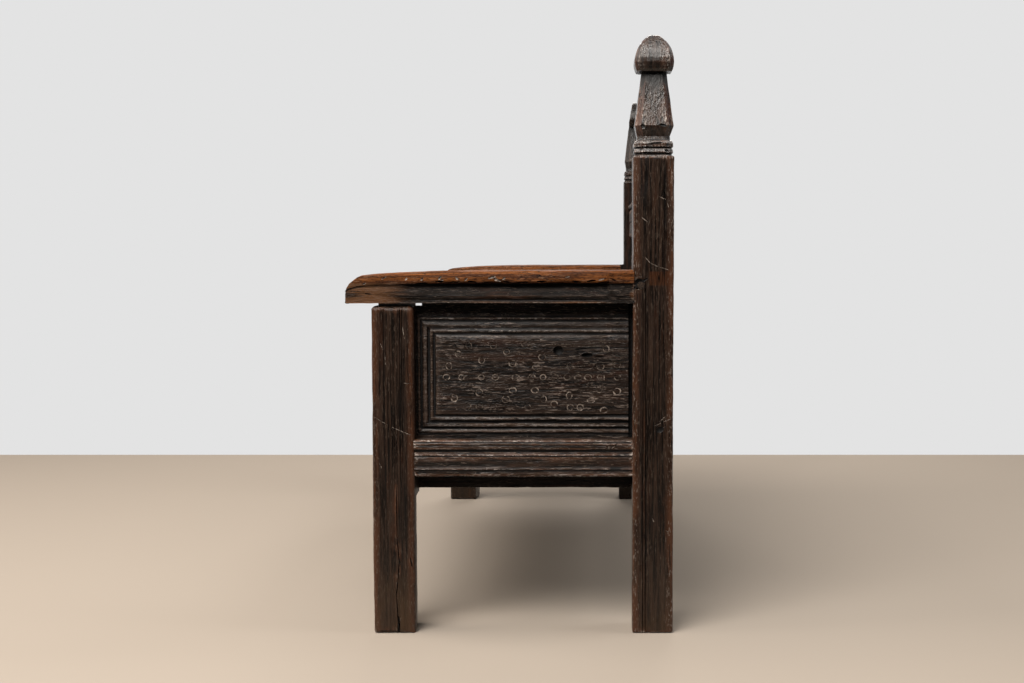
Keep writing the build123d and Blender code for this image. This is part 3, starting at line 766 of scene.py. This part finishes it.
# How far behind the tip, millimetres, and the share of its height that the arm has there.
NOSE = [(0, 0.07), (2.7, 0.21), (8, 0.39), (15.7, 0.53), (22, 0.655), (31, 0.74), (56, 0.81), (105, 0.89), (190, 0.965)]
# Tears under the nosing and chips in it, millimetres: place from front to back, height, half depth, half length, half
# height, and turn in degrees.
TEARS = [(176, 672, 10, 22, 5.5, 8), (196, 681, 6, 12, 4, -25), (214, 686, 5, 20, 3, 6), (-20, 671, 13, 160, 2.8, 0.5)]
TEARS += [(y, z, 6, long, 2.6, turn) for y, z, long, turn in (
    (-166, 673, 17, 3), (-132, 677, 9, -6), (-104, 675.5, 14, 4), (-70, 676.5, 10, -3), (-38, 675, 15, 2),
    (-4, 676, 8, -7), (26, 675, 16, 3), (62, 676.5, 11, -4), (94, 675, 17, 2), (128, 676, 12, -3), (155, 678, 10, 8))]
# The chips take the pale scraped finish, a painted highlight on their broken edges.
CHIPS = [(y, z, 3, long, tall, turn) for y, z, long, tall, turn in (
    (-275, 673, 5, 1.5, 20), (-237, 684, 6, 1.6, 30), (-195, 682, 4, 2.2, 50), (-165, 682, 4, 2.4, 60),
    (-131, 684, 5, 2.4, 55), (-127, 680, 3, 1.6, 20), (-99, 683, 4, 2, -50), (-82, 681, 4, 1.8, 40),
    (-33, 685, 8, 2.6, 15), (-25, 681, 5, 3, -30), (-20, 678, 6, 1.6, 0), (-10, 683, 4, 2, 35),
    (110, 686, 5, 1.2, 10), (174, 681, 6, 1.6, 15))]
for end, side in ENDS:
    node = "arm_" + end
    low, high = corners(node)
    low.y, high.y = low.y + 0.001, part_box("back_post_left")[0].y + LAP
    arm = board("armrest_" + end, low, high)
    arm.data.materials.append(oak_arm)
    tall = (high.z - low.z) / 0.065
    rows = filled([(low.z + (z - 635) * tall / 1000, depth / 1000) for z, depth in ARM_ROWS], 0.006)
    mould(low, high, "z", "+x", rows)
    mould(low, high, "z", "-x", rows)
    columns = [low.y + d / 1000 for d, share in NOSE] + [0.180, 0.192]
    saw("y", columns[1:])
    pivot = low.z + 0.0215 * tall
    for column, (d, share) in zip(columns, NOSE):
        pick("verts", lambda v: at(v.co.y, column) and v.co.z > pivot)
        bpy.ops.transform.resize(value=(1, 1, share), center_override=(0, 0, pivot))
    saw("y", marks(low.y + 0.03, high.y, 0.006, columns))
    for station in sorted({round(v.co.y, 5) for v in bmesh.from_edit_mesh(arm.data).verts}):
        # An eighth of the section's depth up to 90 mm behind the tip, all from 204 mm on, and a third at the post.
        keep, plane = min(1, max(0.12, 0.12 + (station - low.y - 0.09) / 0.13)), 0.002
        if station > 0.186:
            keep, plane = 0.3, 0.005
        for flank, inward in ((low.x, 1), (high.x, -1)) if keep < 1 else ():
            pick("verts", lambda v: at(v.co.y, station) and abs(v.co.x - flank) < 0.0125
                 and v.co.z < low.z + 0.054 * tall)
            bpy.ops.transform.resize(value=(keep, 1, 1), center_override=(flank + inward * plane, 0, 0))
    saw("x", marks(low.x + 0.014, high.x - 0.014, 0.006))
    ease(low, high, 0.003)
    weather(arm, "y", 0.0016, 0.0014)
    face = high.x if side > 0 else low.x
    carve(arm, gouges(face, TEARS))
    store_wear(arm, 2)
    # The chips in the nosing, pale as a painted highlight.
    carve(arm, gouges(face - side * 0.001, CHIPS, scrapes_and_highlights))
    dress(arm, oak_arm, "arm_wood", node, crease=28)

# %% [markdown]
# ## End rails and bearers
# Under each panel runs a rail with a bead along its top, a hollow, and scratched lines. Behind it hangs a plain
# bearer that carries the seat boards. The rail reaches a few millimetres into leg and post, as its shoulders do, so
# that no light shows at the joint, and something sharp has scraped it twice near the post.

# %% End rails and bearers
# The section, as for the arms.
RAIL_ROWS = [(302, 7), (303.5, 5), (306, 3.8), (310, 4.4), (313, 4.6), (315, 4.6), (317, 2.2), (318, 2.2), (321, 4),
             (323, 4), (328.5, 3), (341, 3), (342, 4.2), (343, 4.2), (344, 2.8), (347, 4), (350, 4.6), (351, 6),
             (353.5, 6), (355.5, 2.6), (357, 1.8), (361, 1.8), (363, 2.4), (364.2, 1.2), (367.5, 1.2), (369.5, 2.4),
             (370.5, 1.4), (371.5, 1.6), (373.5, 3.2), (375, 6)]
leg_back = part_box("front_leg_left")[1].y
post_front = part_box("back_post_left")[0].y
rail_low, rail_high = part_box("end_rail_left")[0].z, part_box("end_rail_left")[1].z
for end, side in ENDS:
    node = "end_rail_" + end
    low, high = corners(node, y=(leg_back - LAP, post_front + LAP))
    rail = board("moulded_rail_" + end, low, high)
    mould(low, high, "z", "+x" if side > 0 else "-x", filled([(z / 1000, d / 1000) for z, d in RAIL_ROWS], 0.006))
    saw("x", marks(low.x, high.x, 0.011))
    rings("y", 0.006)
    ease(low, high, 0.003)
    weather(rail, "y", 0.0016, 0.0014)
    rail.data.materials.append(oak_across)
    store_wear(rail)
    scrapes = split([(181, 352), (193, 367)], 2.2, 4.5) + split([(189, 354), (205, 367)], 2.6, 4.5)
    carve(rail, gouges(high.x if side > 0 else low.x, scrapes, scrapes_and_highlights))
    dress(rail, oak_across, "frame_wood", node)
    # The bearer hangs in the rail's shadow; its darker wood is painted shade.
    low, high = corners("seat_bearer_" + end, y=(leg_back - LAP, post_front + LAP))
    bearer = board("bearer_" + end, low, high)
    saw("z", marks(low.z, high.z, 0.010))
    saw("x", marks(low.x, high.x, 0.008))
    rings("y", 0.009)
    ease(low, high, 0.002)
    weather(bearer, "y")
    dress(bearer, bearer_oak, "frame_wood", "seat_bearer_" + end)

# %% [markdown]
# ## End panels with stamped rings
# The end panels are what a visitor remembers: a plain field in a reeded frame, and scattered over it some forty small
# rings, struck with a tubular punch. The reeds are mitred like a picture frame: the whole face is sunk, and then ring
# after ring of it, each inside the last, is brought to its own depth. The rings are tori, half sunk in the face and
# carved out together; the cut takes the torus's own pale speckled finish, a painted highlight for the light on the
# rims.

# %% Panels and rings
# Side, top and bottom distances of each line of the frame from the edge of its opening, and its depth, millimetres.
BORDER = [(0, 0, 0, 5.5), (2.5, 26, 8.5, 5.5), (4.5, 28, 10.5, 3.0), (6, 30, 13, 2.6), (8, 31.8, 16, 3.6),
          (9.8, 32.8, 18, 5.6), (11.2, 34, 19.2, 5.6), (13.5, 38, 20.8, 2.8), (17, 42.5, 23, 1.6),
          (21.5, 45.5, 27.5, 2.6), (24, 47.2, 29.8, 6.2), (26, 48.8, 32.4, 6.2), (28, 51, 34.2, 1.8),
          (30.5, 53.5, 36.5, 0.8), (33, 56, 40, 1.8), (34.6, 58, 42, 4.2), (36.4, 60, 43.6, 4.2), (39, 63.5, 46, 1.0),
          (45, 68, 54, 0)]


def frame_lines(low, high, face, spans, closed):
    """In edit mode, runs a reeded frame round a panel's field; closed is whether it has all four sides."""
    u, n = ("y", "x") if face[1] == "x" else ("x", "y")
    start, stop, bottom, top = spans
    surface = high[AXIS[n]] if face[0] == "+" else low[AXIS[n]]
    inward = -1 if face[0] == "+" else 1
    paths = []
    for side, above, under, deep in BORDER:
        right = stop - side / 1000 if closed else high[AXIS[u]] + 1
        paths.append((start + side / 1000, right, bottom + under / 1000, top - above / 1000, deep / 1000))
    saw(u, sorted({p for path in paths for p in path[:2] if low[AXIS[u]] < p < high[AXIS[u]]}))
    saw("z", sorted({p for path in paths for p in path[2:4]}))
    last = BORDER[0][3] / 1000
    pick("verts", lambda v: at(v.co[AXIS[n]], surface))
    shift(n, inward * last)
    for left, right, under, above, deep in paths:
        pick("verts", lambda v: at(v.co[AXIS[n]], surface + inward * last)
             and left - CLOSE < v.co[AXIS[u]] < right + CLOSE and under - CLOSE < v.co.z < above + CLOSE)
        shift(n, inward * (deep - last))
        last = deep
    return [p for path in paths for p in path[:2]], [p for path in paths for p in path[2:4]]


# Places of the rings along the panel from the leg and up from the rail, millimetres.
RINGS = [(209, 181), (148, 179), (100, 179), (364, 173), (173, 167), (80, 163), (241, 157), (125, 151), (184, 145),
         (385, 142), (62, 140), (353, 139), (294, 139), (229, 138), (386, 118), (354, 118), (329, 118), (310, 118),
         (289, 118), (266, 118), (243, 118), (221, 118), (190, 118), (151, 118), (124, 118), (86, 118), (57, 118),
         (351, 95), (227, 93), (184, 93), (385, 91), (120, 89), (293, 83), (72, 78), (244, 76), (171, 76), (335, 74),
         (264, 66), (99, 62), (213, 61), (147, 61), (120, 61), (314, 60), (295, 60), (360, 54)]
# Pale scrapes along the grain round the two holes: from, to and height, millimetres.
STREAKS = [(70, 118, 556), (128, 176, 552), (150, 214, 559), (100, 122, 552), (168, 222, 545), (160, 190, 541),
           (176, 220, 536), (112, 132, 533), (165, 215, 529), (84, 110, 530), (170, 222, 522), (130, 165, 519),
           (96, 140, 513), (160, 214, 511)]
# The two holes and two tears beside them, as rows for the gouges.
HOLES = [(92, 544, 9, 10.5, 9.2, 0), (147, 535, 8, 11.5, 4.5, 0), (136, 547, 4, 14, 1.6, 4), (170, 533, 4, 12, 1.5, -5)]


def stamps(face):
    """All the rings of one panel as a single cutter."""
    focus()
    bpy.ops.mesh.primitive_torus_add(major_segments=20, minor_segments=6, major_radius=0.0060, minor_radius=0.0013,
                                     location=(0, 0, 0), rotation=(0, math.pi / 2, 0))
    bpy.ops.object.transform_apply()
    first = bpy.context.object
    first.data.materials.append(ring_highlight)
    made = [first] + [again(first) for place in RINGS[1:]]
    for (along, up), ring in zip(RINGS, made):
        ring.location = (face, leg_back + (along + 1.5) / 1000, rail_high + up / 1000)
        ring.scale = (1, 1 + 0.14 * math.sin(along), 1 + 0.14 * math.sin(up))
    return join(made)


for end, side in ENDS:
    node = "end_panel_" + end
    low, high = corners(node, y=(leg_back - LAP, post_front + LAP), z=(rail_high - LAP, arm_low + LAP))
    panel = board("panel_" + end, low, high)
    outward = "+x" if side > 0 else "-x"
    along, up = frame_lines(low, high, outward, (leg_back, post_front, rail_high, arm_low), False)
    face = high.x if side > 0 else low.x
    # The deepest groove is shallower along the top.
    pick("verts", lambda v: 0.0463 < arm_low - v.co.z < 0.0496 and v.co.y > leg_back + 0.0255
         and 0.0055 < abs(v.co.x - face) < 0.007)
    shift("x", side * 0.0034)
    saw("y", marks(low.y, high.y, 0.0055, along))
    saw("z", marks(low.z, high.z, 0.0055, up))
    weather(panel, "y", 0.0012, 0.0010)
    panel.data.materials.append(oak_panel)
    store_wear(panel)
    carve(panel, stamps(face - side * 0.0012))
    carve(panel, gouges(face, HOLES))
    carve(panel, scratches(face, [((y0, z), (y1, z + 1)) for y0, y1, z in STREAKS], 1.5, 2.3))
    # A dark channel runs down beside the post, and the upper corner by the leg is broken away.
    channel = (face - 0.015, post_front - 0.007, low.z - 0.01), (face + 0.01, post_front + 0.02, high.z + 0.01)
    corner = (face - 0.04, leg_back - 0.02, arm_low - 0.005), (face + 0.04, leg_back + 0.012, arm_low + 0.02)
    carve(panel, block(*channel))
    carve(panel, block(*corner))
    dress(panel, oak_panel, "panel_wood", node)

# %% [markdown]
# ## Long rails and the back frame
# The front rail, the crest rail and the lower back rail carry the same bead and hollow as the end rails, now along the
# whole seat. They are one shape at three sizes, so one function makes them, with the section counted from the top.

# %% Long rails
# Distance from the top and depth below the face, millimetres.
LONG_ROWS = [(0, 6), (1, 3.6), (3, 1.4), (6, 0), (9.5, 0.8), (12, 4), (14, 7.2), (17, 7.6), (20, 6), (20.6, 3), (51, 3),
             (53, 5.6), (55, 3)]
leg_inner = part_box("front_leg_left")[0].x
for name, node in (("front_rail", "front_seat_rail"), ("crest", "crest_rail"), ("lower_rail", "lower_back_rail")):
    low, high = corners(node, x=(-leg_inner - LAP, leg_inner + LAP))
    rail = board(name, low, high)
    height = high.z - low.z
    section = LONG_ROWS + [(height * 1000 - 5, 3), (height * 1000, 7)]
    rows = [(high.z - d / 1000, deep / 1000) for d, deep in reversed(section)]
    mould(low, high, "z", "-y", filled(rows, 0.008))
    saw("y", marks(low.y, high.y, 0.010))
    rings("x", 0.009)
    ease(low, high, 0.003)
    weather(rail, "x", 0.0022, 0.0014)
    dress(rail, oak_along, "frame_wood", node)

# %% [markdown]
# ## Plain members
# The rear rail, the cross bearer and the muntins of the back are plain sawn stock. They get the same arrises and dents
# as the rest, only coarser, because nobody planed what is never seen.

# %% Rear rail, cross bearer and muntins
crest_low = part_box("crest_rail")[0].z
lower_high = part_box("lower_back_rail")[1].z
# The cross bearer takes the same darker wood, painted shade.
plain = [("rear_rail", "rear_seat_rail", "x", {"x": (-leg_inner - LAP, leg_inner + LAP)}, oak_along),
         ("cross_bearer", "seat_cross_bearer", "y", {}, bearer_oak)]
plain += [("muntin_" + end, "back_muntin_" + end, "z", {"z": (lower_high - LAP, crest_low + LAP)}, oak_muntin)
          for end, side in ENDS]
for name, node, grain, spans, wood in plain:
    low, high = corners(node, **spans)
    bar = board(name, low, high)
    for axis in "xyz":
        if axis != grain:
            saw(axis, marks(low[AXIS[axis]], high[AXIS[axis]], 0.008))
    rings(grain, 0.008)
    ease(low, high, 0.003)
    weather(bar, grain)
    dress(bar, wood, "frame_wood", node)

# %% [markdown]
# ## Back panels
# The three panels of the back have the same framed field as the ends, all four sides closed, and no rings. One is
# modelled and then copied twice along the seat; each copy has its own mesh, and is weathered after it is moved, so
# that no two wear alike.

# %% Back panels
first_low, first_high = corners("back_panel_right", z=(lower_high - LAP, crest_low + LAP))
opening = (first_low.x + 0.009, first_high.x - 0.009, lower_high, crest_low)
first = board("framed_panel_right", first_low, first_high)
along, up = frame_lines(first_low, first_high, "-y", opening, True)
saw("x", marks(first_low.x, first_high.x, 0.009, along))
saw("z", marks(first_low.z, first_high.z, 0.008, up))
bpy.ops.object.mode_set(mode="OBJECT")
back_panels = [first]
for end in ("middle", "left"):
    copy = again(first)
    copy.name = copy.data.name = "framed_panel_" + end
    copy.location.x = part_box("back_panel_" + end)[0].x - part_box("back_panel_right")[0].x
    bpy.ops.object.transform_apply()
    back_panels.append(copy)
for panel, end in zip(back_panels, ("right", "middle", "left")):
    weather(panel, "x", 0.0018, 0.0011)
    dress(panel, oak_back_panel, "panel_wood", "back_panel_" + end)

# %% [markdown]
# ## Seat boards
# Three wide boards make the seat, notched round the legs and the posts. Each is sawn into a grid, its arrises are
# eased where trousers and skirts have polished them, and a block is carved out wherever it meets a leg or a post.

# %% Seat boards
gap = 0.001  # all round a leg or a post
for name in ("front", "middle", "rear"):
    node = "seat_board_" + name
    low, high = corners(node)
    plank = board("plank_" + name, low, high)
    saw("y", marks(low.y, high.y, 0.009))
    saw("z", marks(low.z, high.z, 0.009))
    rings("x", 0.009)
    ease(low, high, 0.004)
    weather(plank, "x", 0.0020, 0.0012)
    for corner in ("front_leg_left", "front_leg_right", "back_post_left", "back_post_right"):
        a, b = corners(corner, z=(0.30, 0.45))
        if a.y < high.y and b.y > low.y:
            before, behind = (0.05, gap) if "leg" in corner else (gap, 0.05)
            carve(plank, block((a.x - gap, a.y - before, a.z), (b.x + gap, b.y + behind, b.z)))
    dress(plank, oak_seat, "seat_wood", node)

# %% [markdown]
# ## Nails and pegs
# Wrought nails hold the boards to the bearers. A smith draws a nail and strikes its head with four or five blows, so
# the head is a low pyramid of facets that are not quite alike. One head is modelled, copied to each place and joined.
# The oak pegs that lock the joints keep their plain solids, which are right, and get end grain.

# %% Nails
seat_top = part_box("seat_board_front")[1].z
focus()
bpy.ops.mesh.primitive_cone_add(vertices=7, radius1=0.0062, radius2=0.0016, depth=0.0038,
                                location=(0, 0, seat_top + 0.0019))
head = bpy.context.object
bpy.ops.object.transform_apply()
bpy.ops.object.mode_set(mode="EDIT")
pick("faces", lambda f: f.normal.z < -0.9)
bpy.ops.mesh.extrude_region_move(TRANSFORM_OT_translate={"value": (0, 0, -0.003)})
pick("edges", lambda e: min(v.co.z for v in e.verts) > seat_top - 0.001)
bpy.ops.mesh.bevel(offset=0.0005, segments=2)
bpy.ops.object.mode_set(mode="OBJECT")

cross_start, cross_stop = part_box("front_seat_rail")[1].y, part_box("rear_seat_rail")[0].y
bearer_low, bearer_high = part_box("seat_bearer_left")
bearer_x = (bearer_low.x + bearer_high.x) / 2
heads = []
for name in ("front", "middle", "rear"):
    near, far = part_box("seat_board_" + name)[0].y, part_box("seat_board_" + name)[1].y
    for x, start, stop in ((bearer_x, leg_back, post_front), (0, cross_start, cross_stop),
                           (-bearer_x, leg_back, post_front)):
        first, last = max(near, start), min(far, stop)
        for share in (0.25, 0.75):
            copy = again(head)
            copy.location = (x, first + share * (last - first), 0)
            copy.rotation_euler.z = 1.7 * len(heads)
            bpy.ops.object.transform_apply()
            heads.append(copy)
bpy.data.objects.remove(head)
count = len(heads)
nails = join(heads)
nails.name = nails.data.name = "nail_heads"
dress(nails, iron, "forged_iron", "seat_nails")
print("nails:", count)

# %% Pegs
pegs = [node for name, node in frame["nodes"].items() if name.endswith("_pegs")]
for node in pegs:
    node.data.materials.clear()
    node.data.materials.append(peg_oak)
print("pegged joints:", len(pegs))

# %% [markdown]
# ## Floor, light and camera
# The settle stands on a plain pale floor under studio light: one large soft box before the left end and high on the
# camera's left, and three weaker ones before, behind and beyond the settle. Floor and world are pale to the camera and
# to reflections and dark as a light, so that the near-black wood keeps its depth. The camera looks along the seat from
# its left end, a little downward.

# %% Floor
def seen(tree, space, start, stop):
    """One for the camera's rays, nought for light, and for mirrored rays what grows as x goes from start to stop."""
    ray = add(tree, "LightPath").outputs
    mirror = add(tree, "Math", {0: ray["Is Glossy Ray"], 1: ray["Is Transmission Ray"]}, operation="MAXIMUM")
    along = add(tree, "SeparateXYZ", {0: add(tree, "TexCoord").outputs[space]}).outputs[0]
    share = add(tree, "MapRange", {0: along, 1: start, 2: stop})
    mirror = add(tree, "Math", {0: mirror, 1: share}, **TIMES)
    return add(tree, "Math", {0: ray["Is Camera Ray"], 1: mirror}, operation="MAXIMUM")


focus()
bpy.ops.mesh.primitive_plane_add(size=1, location=(1.5, 0, 0))
floor = bpy.context.object
floor.name = "floor"
floor.scale = (6.2, 7.0, 1)
bpy.ops.object.transform_apply()
pale, tree = new_tree("pale floor")
# Plain concrete, pale to the eye and in reflections of the floor about the settle. To the wood it throws back little
# light, as the floor of a dark studio does, so that the hollows stay black.
pale_to = seen(tree, "Object", 1.6, 1.0)
tint = add(tree, "Mix", {0: pale_to, 6: linear("#2b2926"), 7: linear("#b1a598")}, **RGBA)
ground = add(tree, "BsdfPrincipled", {"Base Color": tint, "Roughness": 0.85, "Specular IOR Level": 0.2})
add(tree, "OutputMaterial", {0: ground})
floor.data.materials.append(pale)

# %% Light and camera
def soft_box(name, place, aim, wide, tall, watts, tint):
    """An area light in one place, turned to another; the camera doesn't see it."""
    bpy.ops.object.light_add(type="AREA", location=place)
    lamp = bpy.context.object
    lamp.name = name
    lamp.rotation_euler = (Vector(aim) - Vector(place)).to_track_quat("-Z", "Y").to_euler()
    lamp.data.shape = "RECTANGLE"
    lamp.data.size = wide
    lamp.data.size_y = tall
    lamp.visible_camera = False
    lamp.data.energy = watts
    lamp.data.color = linear(tint)[:3]


soft_box("main", (3.2, -1.3, 3.9), (0.77, 0, 0.6), 2.8, 3.0, 275, "#fffaf4")
soft_box("left", (0.5, -3.2, 3.3), (0.2, 0, 0.5), 2.4, 2.4, 95, "#fff6ec")
soft_box("right", (0.6, 3.0, 3.8), (0.2, 0.2, 0.5), 2.0, 2.0, 65, "#fffdfa")
soft_box("far", (-3.4, 0.3, 2.8), (-0.5, 0, 0.5), 2.0, 2.0, 65, "#fffaf4")

scene = bpy.context.scene
scene.view_settings.view_transform = "Standard"
world = bpy.data.worlds.new("studio")
scene.world = world
world.use_nodes = True
tree = world.node_tree
tree.nodes.clear()
level = add(tree, "MapRange", {0: seen(tree, "Generated", -0.05, -0.4), 3: 0.02, 4: 1.0})
sky = add(tree, "Background", {"Color": linear("#e3e3e3"), "Strength": level})
add(tree, "OutputWorld", {0: sky.outputs[0]})

eye = bpy.data.cameras.new("eye")
camera = bpy.data.objects.new("eye", eye)
scene.collection.objects.link(camera)
camera.location = (3.466, 0.1615, 0.7405)
camera.rotation_euler = (math.radians(90 - 3.762), 0, math.radians(90))
eye.lens = 50
eye.sensor_width = 36
eye.shift_x = -0.0806
scene.camera = camera
print("camera at", [round(v, 3) for v in camera.location])

# %% [markdown]
# ## Finish
# The dressed settle has to stay inside the plain one.

# %% Finish
for helper in GRAIN.values():
    bpy.data.objects.remove(helper)
bpy.context.view_layer.update()
print("pieces:", len(made_pieces), "triangles:", sum(len(p.vertices) - 2 for o in made_pieces for p in o.data.polygons))
